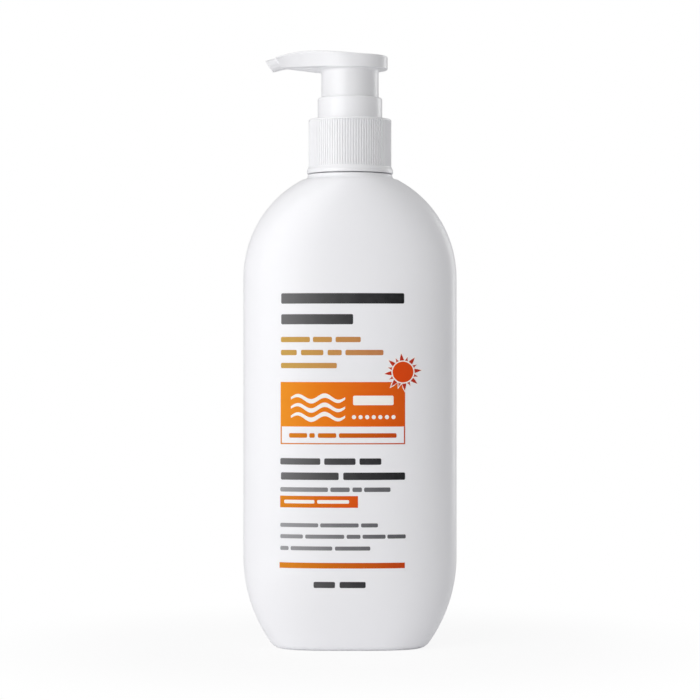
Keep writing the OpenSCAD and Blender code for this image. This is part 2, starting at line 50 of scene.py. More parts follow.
class Wire:  # a value on its way through the nodes
    def __init__(self, graph, socket):
        self.graph, self.socket = graph, socket

    def sum(self, operation, left, right=None):
        return self.graph.add("ShaderNodeMath", {"operation": operation}, [left, right])

    def __add__(self, other):
        return self.sum("ADD", self, other)

    def __sub__(self, other):
        return self.sum("SUBTRACT", self, other)

    def __rsub__(self, other):
        return self.sum("SUBTRACT", other, self)

    def __mul__(self, other):
        return self.sum("MULTIPLY", self, other)

    def __truediv__(self, other):
        return self.sum("DIVIDE", self, other)

    def __abs__(self):
        return self.sum("ABSOLUTE", self)

    __radd__ = __add__
    __rmul__ = __mul__

    def least(self, other):
        return self.sum("MINIMUM", self, other)

    def most(self, other):
        return self.sum("MAXIMUM", self, other)

    def between(self, low, high):  # 0 at low, 1 at high, held at both ends
        return self.graph.add("ShaderNodeMapRange", {"interpolation_type": "SMOOTHSTEP"},
                              {"Value": self, "From Min": low, "From Max": high})

    def ramp(self, stops):
        return self.graph.add("ShaderNodeValToRGB", {"stops": stops}, [self])


class Graph:
    def __init__(self, tree):
        self.tree = tree

    def add(self, kind, settings=None, values=None, output=0):
        node = self.tree.nodes.new(kind)
        for name, value in (settings or {}).items():
            if name == "stops":
                self.fillRamp(node.color_ramp, value)
            else:
                setattr(node, name, value)
        named = values.items() if isinstance(values, dict) else enumerate(values or [])
        for key, value in named:
            if isinstance(value, Wire):
                self.tree.links.new(value.socket, node.inputs[key])
            elif value is not None:
                node.inputs[key].default_value = value
        return Wire(self, node.outputs[output]) if len(node.outputs) else None

    def fillRamp(self, ramp, stops):
        while len(ramp.elements) < len(stops):
            ramp.elements.new(0.5)
        for element, (place, colour) in zip(ramp.elements, stops):
            element.position, element.color = place, colour

    def blend(self, share, first, second):  # colours, by a share of 0 to 1
        return self.add("ShaderNodeMix", {"data_type": "RGBA"}, {0: share, 6: first, 7: second}, 2)

    def spot(self):  # a point of the piece, in metres
        return self.add("ShaderNodeTexCoord", output="Object")

    def axis(self, spot, name):
        return self.add("ShaderNodeSeparateXYZ", values=[spot], output=name)

    def noise(self, spot, look, name):  # the look holds the scale, detail and roughness of each
        return self.add("ShaderNodeTexNoise", {"noise_dimensions": "3D"}, {
            "Vector": spot, "Scale": look[name + "Scale"], "Detail": look[name + "Detail"],
            "Roughness": look.get(name + "Rough", 0.5)})

    def bump(self, height, distance):
        return self.add("ShaderNodeBump", {}, {"Height": height, "Distance": distance})


def shade(red, green, blue):  # a colour as seen on screen, 0 to 255, made linear
    def line(v):
        v /= 255
        return v / 12.92 if v <= 0.04045 else ((v + 0.055) / 1.055) ** 2.4
    return (line(red), line(green), line(blue), 1.0)


def newMaterial(name):
    material = bpy.data.materials.new(name)
    material.use_nodes = True
    material.node_tree.nodes.clear()
    return material, Graph(material.node_tree)


def finishMaterial(graph, values):
    shader = graph.add("ShaderNodeBsdfPrincipled", {}, values)
    graph.add("ShaderNodeOutputMaterial", {}, {"Surface": shader})


def mouldedPlastic(name, look):
    material, graph = newMaterial(name)
    spot = graph.spot()
    cloud = graph.noise(spot, look, "cloud")
    grain = graph.noise(spot, look, "grain")
    wave = graph.noise(spot, look, "wave")
    height = grain * look["grainHeight"] + wave * look["waveHeight"]
    if "seam" in look:  # where the two halves of the mould met, down both narrow sides
        seam = look["seam"]
        across = abs(graph.axis(spot, "Y")).between(seam["core"], seam["edge"])
        out = abs(graph.axis(spot, "X")).between(seam["start"], seam["full"])
        height = height + (1 - across) * out * seam["height"]
    finishMaterial(graph, {
        "Base Color": graph.blend(cloud, look["colour"], look["shadeColour"]),
        "Roughness": (look["roughness"] + (grain - 0.5) * look["roughSpread"]
                      + (cloud - 0.5) * look["roughSpread"]),
        "Normal": graph.bump(height, 1.0), "IOR": look["ior"], "Coat Weight": look["coat"],
        "Coat Roughness": look["coatRoughness"], "Transmission Weight": look["clear"]})
    return material


plasticGrain = {
    "cloudDetail": 3.0, "grainDetail": 4.0, "grainRough": 0.6, "waveDetail": 1.0,
    "roughSpread": 0.08, "clear": 0.0,
}
bottleLook = {
    **plasticGrain, "colour": shade(247, 247, 249), "shadeColour": shade(244, 244, 247),
    "cloudScale": 35.0, "grainScale": 1400.0, "grainHeight": 0.004 * mm, "waveScale": 60.0,
    "waveHeight": 0.05 * mm, "roughness": 0.42, "ior": 1.5, "coat": 0.12, "coatRoughness": 0.2,
    "seam": {"height": 0.04 * mm, "core": 0.05 * mm, "edge": 0.3 * mm,
             "start": 10 * mm, "full": 12 * mm},
}
capLook = {
    **plasticGrain, "colour": shade(247, 247, 248), "shadeColour": shade(243, 243, 246),
    "cloudScale": 60.0, "grainScale": 2200.0, "grainHeight": 0.003 * mm, "waveScale": 150.0,
    "waveHeight": 0.01 * mm, "roughness": 0.36, "ior": 1.49, "coat": 0.18, "coatRoughness": 0.14,
}
# the cap's plastic, painted darker for the head: painted shade on the pad and skirt
headShadedLook = {**capLook, "colour": shade(243, 243, 244), "shadeColour": shade(239, 239, 242)}
naturalLook = {
    **plasticGrain, "colour": shade(226, 230, 234), "shadeColour": shade(214, 220, 226),
    "cloudScale": 90.0, "grainScale": 2600.0, "grainHeight": 0.003 * mm, "waveScale": 220.0,
    "waveHeight": 0.02 * mm, "roughness": 0.28, "roughSpread": 0.1, "ior": 1.49, "coat": 0.2,
    "coatRoughness": 0.1, "clear": 0.25,
}
softLook = {
    **plasticGrain, "colour": shade(222, 226, 231), "shadeColour": shade(206, 212, 220),
    "cloudScale": 140.0, "grainScale": 3200.0, "grainHeight": 0.01 * mm, "waveScale": 400.0,
    "waveHeight": 0.02 * mm, "roughness": 0.58, "roughSpread": 0.12, "ior": 1.5, "coat": 0.0,
    "coatRoughness": 0.3,
}


def steel(name, look):
    material, graph = newMaterial(name)
    spot = graph.spot()
    stretched = graph.add("ShaderNodeMapping", {}, {"Vector": spot, "Scale": look["stretch"]})
    streaks = graph.noise(stretched, look, "streak")
    blotch = graph.noise(spot, look, "blotch")
    finishMaterial(graph, {
        "Base Color": graph.blend(blotch, look["colour"], look["shadeColour"]), "Metallic": 1.0,
        "Roughness": (look["roughness"] + (streaks - 0.5) * look["streakSpread"]
                      + (blotch - 0.5) * look["blotchSpread"]),
        "Normal": graph.bump(streaks, look["depth"])})
    return material


steelGrain = {
    "streakDetail": 5.0, "streakRough": 0.6, "streakSpread": 0.12, "blotchScale": 300.0,
    "blotchDetail": 3.0, "blotchSpread": 0.06,
}
wireLook = {
    **steelGrain, "colour": shade(186, 188, 191), "shadeColour": shade(158, 160, 165),
    "stretch": (1.0, 1.0, 4.0), "streakScale": 2500.0, "roughness": 0.3, "depth": 0.004 * mm,
}
ballLook = {
    **steelGrain, "colour": shade(206, 207, 210), "shadeColour": shade(188, 190, 194),
    "stretch": (1.0, 1.0, 1.0), "streakScale": 4000.0, "roughness": 0.14, "depth": 0.001 * mm,
}
inkLook = {  # from and to are in millimetres across the label
    "from": -23.0, "to": 19.0, "roughness": 0.4, "roughSpread": 0.14, "speckle": 0.08,
    "thinness": 0.03, "meshScale": 5200.0, "meshDetail": 2.0, "meshHeight": 0.003 * mm,
    "patchScale": 420.0, "patchDetail": 3.0, "patchHeight": 0.004 * mm, "ior": 1.5,
    "specular": 0.16,
}


def ink(name, look):  # screen print, whose colour fades from left to right across the label
    material, graph = newMaterial(name)
    spot = graph.spot()
    share = graph.add("ShaderNodeMapRange", {}, {
        "Value": graph.axis(spot, "X") * (1 / mm), "From Min": look["from"], "From Max": look["to"]})
    stops = [(place, shade(*colour)) for place, colour in look["fade"]]
    mesh = graph.noise(spot, look, "mesh")
    patch = graph.noise(spot, look, "patch")
    worn = (mesh - 0.5) * look["speckle"] + (patch - 0.5) * look["speckle"] + look["thinness"]
    finishMaterial(graph, {
        "Base Color": graph.blend(worn, share.ramp(stops), shade(*look["under"])),
        "Roughness": look["roughness"] + (patch - 0.5) * look["roughSpread"],
        "Normal": graph.bump(mesh * look["meshHeight"] + patch * look["patchHeight"], 1.0),
        "IOR": look["ior"], "Specular IOR Level": look["specular"]})
    return material


inks = {  # colours as seen on screen, each with its place along the fade
    "dark": {"speckle": 0.12, "under": (140, 140, 144),
             "fade": [(0.0, (112, 112, 113)), (0.3, (82, 82, 83)), (0.62, (50, 50, 52)),
                      (1.0, (14, 14, 16))]},
    "fine": {"roughness": 0.42, "speckle": 0.14, "under": (190, 190, 194),
             "fade": [(0.0, (158, 158, 160)), (0.45, (120, 120, 123)), (1.0, (84, 84, 87))]},
    "panel": {"from": -22.7, "to": 18.0, "under": (240, 150, 50),
              "fade": [(0.0, (240, 146, 6)), (0.35, (238, 124, 8)), (0.7, (230, 100, 8)),
                       (1.0, (220, 84, 4))]},
    "gold": {"to": 16.0, "roughness": 0.42, "speckle": 0.14, "under": (222, 192, 140),
             "fade": [(0.0, (204, 162, 74)), (0.5, (200, 142, 78)), (1.0, (192, 120, 78))]},
    "rule": {"to": 18.0, "roughness": 0.42, "under": (214, 130, 30),
             "fade": [(0.0, (222, 134, 8)), (0.5, (208, 100, 6)), (1.0, (194, 62, 8))]},
    "patch": {"from": -22.8, "to": 2.6, "roughness": 0.42, "under": (224, 120, 24),
              "fade": [(0.0, (224, 134, 10)), (0.5, (222, 106, 6)), (1.0, (222, 80, 4))]},
    "sun": {"from": 10.0, "to": 24.0, "under": (225, 110, 50),
            "fade": [(0.0, (226, 72, 4)), (1.0, (220, 70, 4))]},
    "ray": {"from": 10.0, "to": 24.0, "speckle": 0.1, "under": (215, 110, 90),
            "fade": [(0.0, (196, 48, 24)), (1.0, (184, 42, 22))]},
    "white": {"speckle": 0.06, "under": (238, 238, 240),
              "fade": [(0.0, (252, 249, 243)), (1.0, (252, 248, 243))]},
}
finishes = {
    "bottle": mouldedPlastic("blownPlastic", bottleLook),
    "cap": mouldedPlastic("capPlastic", capLook),
    # the head gets the cap's plastic painted darker, as painted shade
    "head": mouldedPlastic("headPaintedShadePlastic", headShadedLook),
    "natural": mouldedPlastic("naturalPlastic", naturalLook),
    "soft": mouldedPlastic("softPlastic", softLook),
    "wire": steel("springWire", wireLook),
    "ball": steel("ballSteel", ballLook),
    **{name: ink(name + "Ink", {**inkLook, **look}) for name, look in inks.items()},
}
print("stage: finishes made")


def linked(name, data):
    piece = bpy.data.objects.new(name, data)
    bpy.context.scene.collection.objects.link(piece)
    return piece


# meshes are made in millimetres, until a piece is finished
def newObject(name, points, faces, finish=None):
    mesh = bpy.data.meshes.new(name)
    mesh.from_pydata([tuple(p) for p in points], [], faces)
    mesh.validate()
    if finish:
        mesh.materials.append(finishes[finish])
    return linked(name, mesh)


def toMetres(piece, sharpAngle=None):
    piece.data.transform(Matrix.Scale(mm, 4))
    piece.data.shade_smooth()
    if sharpAngle:
        piece.data.set_sharp_from_angle(angle=math.radians(sharpAngle))
    piece.data.update()
    return piece


def skin(rings, capped=True):  # rows of points, joined row to row; a closed loop of rows if not capped
    count, rows = len(rings[0]), len(rings)
    points = [p for ring in rings for p in ring]
    faces = []
    for row in range(rows if not capped else rows - 1):
        here, there = row * count, (row + 1) % rows * count
        for i in range(count):
            j = (i + 1) % count
            faces.append((here + i, here + j, there + j, there + i))
    if capped:
        for row, way in ((0, -1), (rows - 1, 1)):
            middle = [sum(p[k] for p in rings[row]) / count for k in range(3)]
            points.append(middle)
            for i in range(count):
                pair = (row * count + i, row * count + (i + 1) % count)
                faces.append((pair if way > 0 else pair[::-1]) + (len(points) - 1,))
    return points, faces


def circle(radius, z, sides):
    turns = [2 * math.pi * i / sides for i in range(sides)]
    return [(radius * math.cos(turn), radius * math.sin(turn), z) for turn in turns]


def rounded(corners, steps=4):  # an outline of (r, z, edge radius), with its corners rounded
    path = []
    for i, (x, z, edge) in enumerate(corners):
        here = Vector((x, z))
        back = (Vector(corners[i - 1][:2]) - here).normalized()
        ahead = (Vector(corners[(i + 1) % len(corners)][:2]) - here).normalized()
        if edge <= 0 or abs(back.cross(ahead)) < 1e-4:
            path.append(here)
            continue
        half = back.angle(ahead) / 2
        reach = edge / math.tan(half)
        centre = here + (back + ahead).normalized() * edge / math.sin(half)
        start, end = here + back * reach - centre, here + ahead * reach - centre
        for k in range(steps + 1):
            turn = start.slerp(end, k / steps) if start.angle(end) > 1e-3 else start
            path.append(centre + turn.normalized() * edge)
    return path


def lathe(path, sides):
    return skin([circle(p[0], p[1], sides) for p in path], capped=False)


def solved(piece):  # modifiers worked into the mesh
    bpy.context.view_layer.update()
    mesh = bpy.data.meshes.new_from_object(piece.evaluated_get(bpy.context.evaluated_depsgraph_get()))
    piece.modifiers.clear()
    piece.data = mesh
    return piece


def ease(t):
    return (1 - math.cos(math.pi * max(0.0, min(1.0, t)))) / 2


thread = {  # shared by the neck and the closure
    "start": 163.2, "pitch": 3.175, "turns": 1.5, "height": 1.15, "crest": 0.42, "root": 1.02,
    "fade": 0.09,
}


def threadHeight(angle, z, shift=0.0):  # how far the thread stands out at this place
    best = 0.0
    for lap in range(math.ceil(thread["turns"]) + 1):
        turn = angle / (2 * math.pi) + lap
        if turn > thread["turns"]:
            break
        off = abs(z - thread["start"] - shift - turn * thread["pitch"])
        share = (thread["root"] - off) / (thread["root"] - thread["crest"])
        ends = min(turn, thread["turns"] - turn) / thread["fade"]
        best = max(best, max(0.0, min(1.0, share)) * ease(ends))
    return best * thread["height"]


def threadedRing(radius, way, z, sides, shift=0.0):  # way is 1 for a thread that stands out, or -1
    ring = []
    for i in range(sides):
        angle = 2 * math.pi * i / sides
        here = radius + way * threadHeight(angle, z, shift)
        ring.append((here * math.cos(angle), here * math.sin(angle), z))
    return ring


bottle = {
    "halfWidth": 35.5, "halfDepth": 17.5, "footTop": 30.0, "footHalfWidth": 25.15,
    "footHalfDepth": 14.8, "sideTop": 122.5, "bodyPower": 2.3, "footPower": 3.0, "baseEdge": 1.6,
    "standWidth": 2.6, "standFlat": 0.6, "punt": 1.6, "wall": 1.1, "bossRadius": 14.15,
    "bossTop": 156.9, "bossHeight": 0.5, "filletWidth": 1.75, "filletHeight": 1.2,
    "depthShare": 0.16, "neckRadius": 10.75, "neckLow": 157.15, "neckRun": 14.45,
    "neckTop": 171.8, "neckBore": 9.1, "boreDrop": 2.2, "throat": 0.4, "throatFlare": 3.0,
    "thickening": 2.2, "sides": 192, "edgeSteps": 8, "footSteps": 24, "sideSteps": 12,
    "shoulderSteps": 48, "neckSteps": 58, "innerSteps": 24, "innerFootSteps": 16,
    "puntShares": (0.06, 0.2, 0.35, 0.5, 0.65, 0.78, 0.88, 0.95),
    "floorShares": (1.0, 0.9, 0.75, 0.5, 0.25, 0.06),
    "bossEdge": ((0.0, 0.3), (0.09, 0.09), (0.3, 0.0)),  # in from the side, down from the top
    "lipEdge": ((0.0, 0.25), (0.07, 0.07), (0.25, 0.0)),
    "neckRoot": (0.5, 0.15, 0.0),
}
footInset = bottle["halfWidth"] - bottle["footHalfWidth"]
footArc = (bottle["footTop"] ** 2 + footInset ** 2) / (2 * footInset)
shoulderEndRadius = bottle["bossRadius"] + bottle["filletWidth"]
shoulderEnd = bottle["bossTop"] - bottle["bossHeight"] - bottle["filletHeight"]
shoulderTurn = math.acos(shoulderEndRadius / bottle["halfWidth"])
shoulderRise = (shoulderEnd - bottle["sideTop"]) / math.sin(shoulderTurn)
depthStart = bottle["sideTop"] + (bottle["bossTop"] - bottle["sideTop"]) * bottle["depthShare"]
shoulderEndDepth = bottle["bossRadius"] + bottle["filletWidth"] / 2


def bottleSection(z):  # half width, half depth and squareness at height z
    b = bottle
    if z < b["footTop"]:
        share = (footArc - math.sqrt(footArc ** 2 - (b["footTop"] - z) ** 2)) / footInset
        return (b["halfWidth"] - footInset * share,
                b["halfDepth"] - (b["halfDepth"] - b["footHalfDepth"]) * share,
                b["bodyPower"] + (b["footPower"] - b["bodyPower"]) * (1 - z / b["footTop"]))
    if z <= b["sideTop"]:
        return b["halfWidth"], b["halfDepth"], b["bodyPower"]
    width = b["halfWidth"] * math.sqrt(max(0.0, 1 - ((z - b["sideTop"]) / shoulderRise) ** 2))
    drawn = math.sqrt(max(0.0, 1 - (max(0.0, z - depthStart) / (shoulderEnd - depthStart)) ** 2))
    share = min(1.0, (z - b["sideTop"]) / (shoulderEnd - b["sideTop"])) ** 2
    return (width, shoulderEndDepth + (b["halfDepth"] - shoulderEndDepth) * drawn,
            b["bodyPower"] + (2 - b["bodyPower"]) * share)


def oval(width, depth, power, z, sides):
    ring = []
    for i in range(sides):
        c, s = math.cos(2 * math.pi * i / sides), math.sin(2 * math.pi * i / sides)
        ring.append((width * math.copysign(abs(c) ** (2 / power), c),
                     depth * math.copysign(abs(s) ** (2 / power), s), z))
    return ring


def bottleOutside():
    b, n, rings = bottle, bottle["sides"], []
    width, depth, power = bottleSection(0)
    inner = b["baseEdge"] + b["standWidth"]
    for share in b["puntShares"]:  # hollow of the base
        rings.append(oval(share * (width - inner), share * (depth - inner), power,
                          b["punt"] * (1 - share ** 2), n))
    for out in (0.0, b["standFlat"]):
        rings.append(oval(width - inner + out, depth - inner + out, power, 0.0, n))
    for k in range(b["edgeSteps"] + 1):  # rounded edge of the base
        turn = math.pi / 2 * k / b["edgeSteps"]
        z, inset = b["baseEdge"] * (1 - math.cos(turn)), b["baseEdge"] * (1 - math.sin(turn))
        w, d, p = bottleSection(z)
        rings.append(oval(w - inset, d - inset, p, z, n))
    for k in range(1, b["footSteps"] + 1):
        z = b["baseEdge"] + (b["footTop"] - b["baseEdge"]) * k / b["footSteps"]
        rings.append(oval(*bottleSection(z), z, n))
    for k in range(1, b["sideSteps"]):
        z = b["footTop"] + (b["sideTop"] - b["footTop"]) * k / b["sideSteps"]
        rings.append(oval(*bottleSection(z), z, n))
    for k in range(b["shoulderSteps"] + 1):
        z = b["sideTop"] + shoulderRise * math.sin(shoulderTurn * k / b["shoulderSteps"])
        rings.append(oval(*bottleSection(min(z, shoulderEnd)), z, n))
    for k in range(1, b["edgeSteps"] + 1):  # fillet at the root of the neck
        turn = math.pi / 2 * k / b["edgeSteps"]
        left, z = 1 - math.sin(turn), shoulderEnd + b["filletHeight"] * (1 - math.cos(turn))
        rings.append(oval(b["bossRadius"] + b["filletWidth"] * left,
                          b["bossRadius"] + b["filletWidth"] / 2 * left, 2, z, n))
    return rings


def bottleNeck():  # up the outside, over the lip and down the bore
    b, n, lip = bottle, bottle["sides"], bottle["lipEdge"]
    rings = [circle(b["bossRadius"] - inset, b["bossTop"] - drop, n) for inset, drop in b["bossEdge"]]
    for out in b["neckRoot"]:
        z = b["bossTop"] + (b["neckRoot"][0] - out) ** 2
        rings.append(circle(b["neckRadius"] + out, z, n))
    for k in range(1, b["neckSteps"] + 1):
        z = min(b["neckLow"] + b["neckRun"] * k / b["neckSteps"], b["neckTop"] - lip[0][1])
        rings.append(threadedRing(b["neckRadius"], 1, z, n))
    rings += [circle(b["neckRadius"] - inset, b["neckTop"] - drop, n) for inset, drop in lip[1:]]
    rings += [circle(b["neckBore"] + inset, b["neckTop"] - drop, n) for inset, drop in lip[::-1]]
    return rings + [circle(b["neckBore"], b["bossTop"] - b["boreDrop"], n)]


def bottleInside():
    b, n, wall, rings = bottle, bottle["sides"], bottle["wall"], []
    throat = b["neckBore"] + b["throat"]
    for k in range(b["innerSteps"], -1, -1):  # down the shoulder
        drawn = k / b["innerSteps"]
        z = b["sideTop"] + (shoulderRise - wall) * math.sin(shoulderTurn * drawn)
        w, d, p = bottleSection(min(z + wall * drawn ** 2, shoulderEnd))
        rings.append(oval(max(w - wall * (1 + drawn), throat + b["throatFlare"] * (1 - drawn)),
                          max(d - wall * (1 + b["thickening"] * drawn ** 6), throat), p, z, n))
    low = b["baseEdge"] + wall
    for k in range(b["innerFootSteps"] - 1, -1, -1):  # down the foot
        z = low + (b["footTop"] - low) * k / b["innerFootSteps"]
        w, d, p = bottleSection(z)
        rings.append(oval(w - wall, d - wall, p, z, n))
    width, depth, power = bottleSection(0)
    for share in b["floorShares"]:
        rings.append(oval(share * (width - low), share * (depth - low), power,
                          wall + b["punt"] * (1 - share ** 2), n))
    return rings


bottleRings = bottleOutside() + bottleNeck() + bottleInside()
bottleShell = toMetres(newObject("bottleShell", *skin(bottleRings), "bottle"), sharpAngle=50)
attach(bottleShell, "bottle")
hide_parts("bottle")
print("stage: bottle made")

closure = {
    "low": 157.2, "top": 175.3, "floor": 174.3, "innerRadius": 12.15, "mouthRadius": 12.45,
    "wallRadius": 13.45, "ribRadius": 13.74, "bandTop": 159.5, "bandRadius": 13.9,
    "flareRadius": 14.35, "flareTop": 158.45, "flareEnd": 159.15, "rimLow": 174.65,
    "rimRadius": 13.8, "holeRadius": 11.05, "threadHigh": 173.8, "threadRun": 16.2,
    "threadSteps": 60, "sides": 192, "ribs": 96, "ribWidth": 0.66, "ribTip": 0.44,
    "ribRoot": 0.25, "ribOverlap": 0.1, "ribEdge": 0.13, "bandSlope": 0.05, "rimSlope": 0.1,
}


def closureRings():
    c, sides = closure, closure["sides"]
    outline = rounded([
        (c["mouthRadius"], c["low"], 0.1), (c["flareRadius"], c["low"], 0.25),
        (c["flareRadius"], c["flareTop"], 0.5), (c["bandRadius"], c["flareEnd"], 0.6),
        (c["bandRadius"], c["bandTop"], 0.12), (c["wallRadius"], c["bandTop"] + c["bandSlope"], 0.1),
        (c["wallRadius"], c["rimLow"] - c["rimSlope"], 0.1), (c["rimRadius"], c["rimLow"], 0.1),
        (c["rimRadius"], c["top"], 0.5), (c["holeRadius"], c["top"], 0.12),
        (c["holeRadius"], c["floor"], 0.1), (c["innerRadius"], c["floor"], 0.3)])
    rings = [circle(p.x, p.y, sides) for p in outline]
    for k in range(c["threadSteps"] + 1):  # inside, with the thread that works on the neck's
        z = c["threadHigh"] - c["threadRun"] * k / c["threadSteps"]
        rings.append(threadedRing(c["innerRadius"], -1, z, sides, -thread["pitch"] / 2))
    return rings


def newTree(treeName, sockets):  # a node tree with its named inputs
    tree = bpy.data.node_groups.new(treeName, "GeometryNodeTree")
    for name, kind, value in sockets + [("Finish", "Material", None)]:
        socket = tree.interface.new_socket(name=name, in_out="INPUT", socket_type="NodeSocket" + kind)
        if value is not None:
            socket.default_value = value
    tree.interface.new_socket(name="Geometry", in_out="OUTPUT", socket_type="NodeSocketGeometry")
    graph = Graph(tree)
    start = tree.nodes.new("NodeGroupInput")
    return graph, {s.name: Wire(graph, s) for s in start.outputs if s.name}


def treeEnd(graph, geometry, finish):
    plain = graph.add("GeometryNodeRealizeInstances", {}, {"Geometry": geometry})
    painted = graph.add("GeometryNodeSetMaterial", {}, {"Geometry": plain, "Material": finish})
    graph.add("NodeGroupOutput", {}, {"Geometry": painted})
    return graph.tree


def grow(name, tree, sizes):  # a plain mesh from a node tree, with its inputs set by identifier
    piece = newObject(name, [], [])
    modifier = piece.modifiers.new("nodes", "NODES")
    modifier.node_group = tree
    for item in tree.interface.items_tree:
        if item.item_type == "SOCKET" and item.in_out == "INPUT" and item.name in sizes:
            modifier[item.identifier] = sizes[item.name]
    return solved(piece)


def ribTree():
    graph, given = newTree("gripRibs", [
        ("Count", "Int", 96), ("Radius", "Float", 13.0), ("Height", "Float", 0.5),
        ("Root width", "Float", 0.5), ("Tip width", "Float", 0.3), ("Low", "Float", 0.0),
        ("High", "Float", 10.0), ("Edge", "Float", 0.05)])
    section = graph.add("GeometryNodeCurvePrimitiveQuadrilateral", {"mode": "TRAPEZOID"}, {
        "Height": given["Height"], "Bottom Width": given["Root width"],
        "Top Width": given["Tip width"], "Offset": 0.0})
    section = graph.add("GeometryNodeFilletCurve", {"mode": "POLY"}, {
        "Curve": section, "Count": 2, "Radius": given["Edge"], "Limit Radius": True})
    low = graph.add("ShaderNodeCombineXYZ", values={"Z": given["Low"]})
    high = graph.add("ShaderNodeCombineXYZ", values={"Z": given["High"]})
    path = graph.add("GeometryNodeCurvePrimitiveLine", {"mode": "POINTS"},
                     {"Start": low, "End": high})
    rib = graph.add("GeometryNodeCurveToMesh", {},
                    {"Curve": path, "Profile Curve": section, "Fill Caps": True})
    out = graph.add("ShaderNodeCombineXYZ", values={"X": given["Radius"]})
    rib = graph.add("GeometryNodeTransform", {}, {"Geometry": rib, "Translation": out})
    spots = graph.add("GeometryNodePoints", {}, {"Count": given["Count"]})
    place = graph.add("GeometryNodeInputIndex")
    turn = graph.add("ShaderNodeCombineXYZ", values={"Z": place * (2 * math.pi) / given["Count"]})
    copies = graph.add("GeometryNodeInstanceOnPoints", {},
                       {"Points": spots, "Instance": rib, "Rotation": turn})
    return treeEnd(graph, copies, given["Finish"])


closureSkin = skin(closureRings(), capped=False)
closureShell = toMetres(newObject("closureShell", *closureSkin, "cap"), sharpAngle=40)
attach(closureShell, "closure")
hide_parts("closure")
ribHeight = closure["ribRadius"] - closure["wallRadius"] + closure["ribRoot"]
closureRibs = toMetres(grow("closureRibs", ribTree(), {
    "Count": closure["ribs"], "Radius": closure["ribRadius"] - ribHeight / 2, "Height": ribHeight,
    "Root width": closure["ribWidth"], "Tip width": closure["ribTip"],
    "Low": closure["bandTop"] - closure["ribOverlap"],
    "High": closure["rimLow"] + closure["ribOverlap"], "Edge": closure["ribEdge"],
    "Finish": finishes["cap"]}), sharpAngle=40)
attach(closureRibs, "closure")
print("stage: closure made")

collar = {
    "plugLow": 168.9, "seat": 173.5, "floor": 174.3, "towerTop": 182.5, "guideIn": 3.46,
    "guideOut": 4.7, "plugOut": 7.65, "plugIn": 6.5, "foot": 11.7, "towerOut": 10.75,
    "towerIn": 9.8, "guideTop": 178.0, "sides": 128, "edgeSteps": 6,
}


def collarOutline():
    c = collar
    return rounded([
        (c["guideIn"], c["plugLow"], 0.1), (c["guideOut"], c["plugLow"], 0.15),
        (c["guideOut"], c["seat"], 0.2), (c["plugIn"], c["seat"], 0.2),
        (c["plugIn"], c["plugLow"], 0.1), (c["plugOut"], c["plugLow"], 0.35),
        (c["plugOut"], c["seat"], 0.1), (c["foot"], c["seat"], 0.1), (c["foot"], c["floor"], 0.1),
        (c["towerOut"], c["floor"], 0.15), (c["towerOut"], c["towerTop"], 0.72),
        (c["towerIn"], c["towerTop"], 0.15), (c["towerIn"], c["floor"], 0.3),
        (c["guideOut"], c["floor"], 0.3), (c["guideOut"], c["guideTop"], 0.15),
        (c["guideIn"], c["guideTop"], 0.1)], c["edgeSteps"])


collarSkin = lathe(collarOutline(), collar["sides"])
collarShell = toMetres(newObject("collarShell", *collarSkin, "cap"), sharpAngle=40)
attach(collarShell, "pump_base")
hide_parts("collar")
print("stage: collar made")

head = {
    "padLow": 191.9, "padTop": 196.3, "crest": 197.6, "crestX": 14.0, "crestRun": 21.0,
    "crestFall": 2.6, "reach": 26.95, "halfWidth": 10.6, "backX": 12.55, "power": 2.2,
    "edge": 0.4, "foot": 0.25, "draft": 1.7, "draftStart": 2.0, "draftRun": 20.0,
    "spoutHalfWidth": 3.5, "taperEnd": 25.0, "spoutLift": 0.65, "liftRun": 16.0,
    "fillet": 0.9, "filletIn": 0.5, "filletUp": 0.4, "skirtOut": 9.55, "skirtIn": 8.5,
    "skirtLow": 181.9, "skirtInto": 1.5, "roof": 195.1, "socketOut": 4.75, "socketIn": 3.5,
    "socketLow": 184.6, "stemTop": 192.0, "wellRadius": 1.7, "rootZ": 194.1, "rootRun": 9.0,
    "nozzleOut": 2.2, "nozzleBore": 1.3, "dip": 14.0, "lead": 6.95, "cover": 0.1,
    "faceTilt": 34.0, "nozzleFree": 3.5, "overlap": 0.6, "past": 1.0, "outletPast": 4.0,
    "tubeStart": (-8.9, 0.0, 192.74), "tubeEnd": (-21.5, 0.0, 194.28), "tubeRadius": 2.05,
    "footSteps": 6, "edgeSteps": 8, "spoutSteps": 70, "backSteps": 40, "backTurn": 88.0,
    "filletSteps": 10, "filletSides": 160, "postSides": 128, "voxel": 0.18, "smoothing": 4,
    "thinning": 0.7,
}


def padTop(x):
    h = head
    if x > -h["crestX"]:
        return h["crest"] - (h["crest"] - h["padTop"]) * ease((x + h["crestX"]) / h["crestRun"])
    return h["crest"] - h["crestFall"] * ((x + h["crestX"]) / (h["reach"] - h["crestX"])) ** 2


def padSide(x):  # half width of the pad: a rounded back, and a spout that draws in
    h = head
    if x > 0:
        return h["halfWidth"] * (1 - (x / h["backX"]) ** h["power"]) ** (1 / h["power"])
    return h["halfWidth"] - (h["halfWidth"] - h["spoutHalfWidth"]) * ease(-x / h["taperEnd"])


def edgeDrop(x, y, radius):  # what a rounded edge takes off at a point of the plan
    h = head
    inset = padSide(x) - y
    if x > 0:
        ratio = ((x / h["backX"]) ** h["power"]
                 + (y / h["halfWidth"]) ** h["power"]) ** (1 / h["power"])
        inset = math.hypot(x, y) * (1 / ratio - 1)
    return radius - math.sqrt(max(0.0, radius ** 2 - max(0.0, radius - inset) ** 2))


